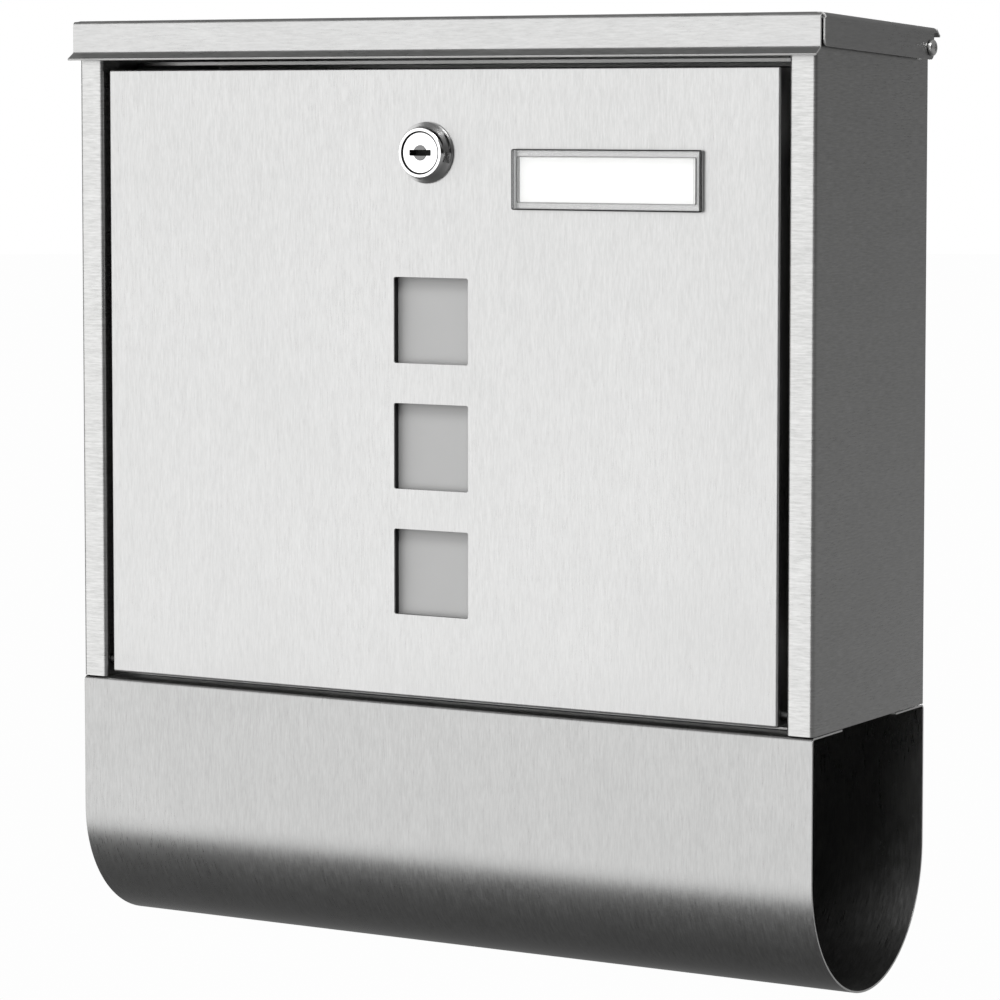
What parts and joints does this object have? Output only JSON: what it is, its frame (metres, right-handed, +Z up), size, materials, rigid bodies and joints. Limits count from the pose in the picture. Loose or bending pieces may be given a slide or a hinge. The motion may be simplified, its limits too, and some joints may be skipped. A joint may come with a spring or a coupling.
{
  "type": "wall mounted mailbox",
  "caption": "Wall mounted steel mailbox with a lift-up lid, a locking drop-down door with small square windows, and an open newspaper holder below.",
  "frame": {"origin": "in the wall plane, at the middle of the four wall pads", "axes": "+Z up, +Y into the wall, so the door faces -Y; +X to the right of someone facing the door"},
  "size_m": [0.3402, 0.1136, 0.3701],
  "materials": {
    "brushed_sheet": "fine straight brushed grain, satin",
    "bright_steel": "bright plated fasteners",
    "lock_chrome": "polished chrome",
    "pad_rubber": "matt moulded rubber",
    "seal_rubber": "matt black foam rubber",
    "frosted_pane": "frosted acrylic sheet",
    "clear_plastic": "clear glossy moulded plastic",
    "white_card": "plain matt white card"
  },
  "bodies": {
    "housing": {"bottom_panel": "brushed_sheet", "door_hinge_pin_left": "bright_steel", "door_hinge_pin_right": "bright_steel", "holder_nut_back_left": "bright_steel", "holder_nut_back_right": "bright_steel", "holder_nut_front_left": "bright_steel", "holder_nut_front_right": "bright_steel", "holder_screw_back_left": "bright_steel", "holder_screw_back_right": "bright_steel", "holder_screw_front_left": "bright_steel", "holder_screw_front_right": "bright_steel", "housing_shell": "brushed_sheet", "latch_rail": "brushed_sheet", "letter_guard": "brushed_sheet", "lid_pivot_nut_left": "bright_steel", "lid_pivot_nut_right": "bright_steel", "lid_pivot_screw_left": "bright_steel", "lid_pivot_screw_right": "bright_steel", "lid_pivot_washer_left": "bright_steel", "lid_pivot_washer_right": "bright_steel", "newspaper_holder": "brushed_sheet", "wall_pad_lower_left": "pad_rubber", "wall_pad_lower_right": "pad_rubber", "wall_pad_upper_left": "pad_rubber", "wall_pad_upper_right": "pad_rubber"},
    "door": {"door_panel": "brushed_sheet", "lock_body": "lock_chrome", "lock_nut": "bright_steel", "lock_washer": "bright_steel", "name_card": "white_card", "nameplate_cover": "clear_plastic", "window_nut_lower_left": "bright_steel", "window_nut_lower_right": "bright_steel", "window_nut_upper_left": "bright_steel", "window_nut_upper_right": "bright_steel", "window_pane": "frosted_pane", "window_seal": "seal_rubber", "window_stud_lower_left": "bright_steel", "window_stud_lower_right": "bright_steel", "window_stud_upper_left": "bright_steel", "window_stud_upper_right": "bright_steel"},
    "lid": {"lid": "brushed_sheet"},
    "lock_cylinder": {"lock_cam": "bright_steel", "lock_cam_screw": "bright_steel", "lock_plug": "lock_chrome"}
  },
  "joints": [
    {"name": "door_swing", "type": "hinge", "parent": "housing", "child": "door", "pos_m": [0, -0.1037, -0.123], "axis": [1, 0, 0], "range_deg": [0, 110]},
    {"name": "lid_lift", "type": "hinge", "parent": "housing", "child": "lid", "pos_m": [0, -0.0134, 0.12428], "axis": [-1, 0, 0], "range_deg": [0, 80]},
    {"name": "lock_turn", "type": "hinge", "parent": "door", "child": "lock_cylinder", "pos_m": [-0.0006, -0.1136, 0.0841], "axis": [0, -1, 0], "range_deg": [0, 90]}
  ]
}
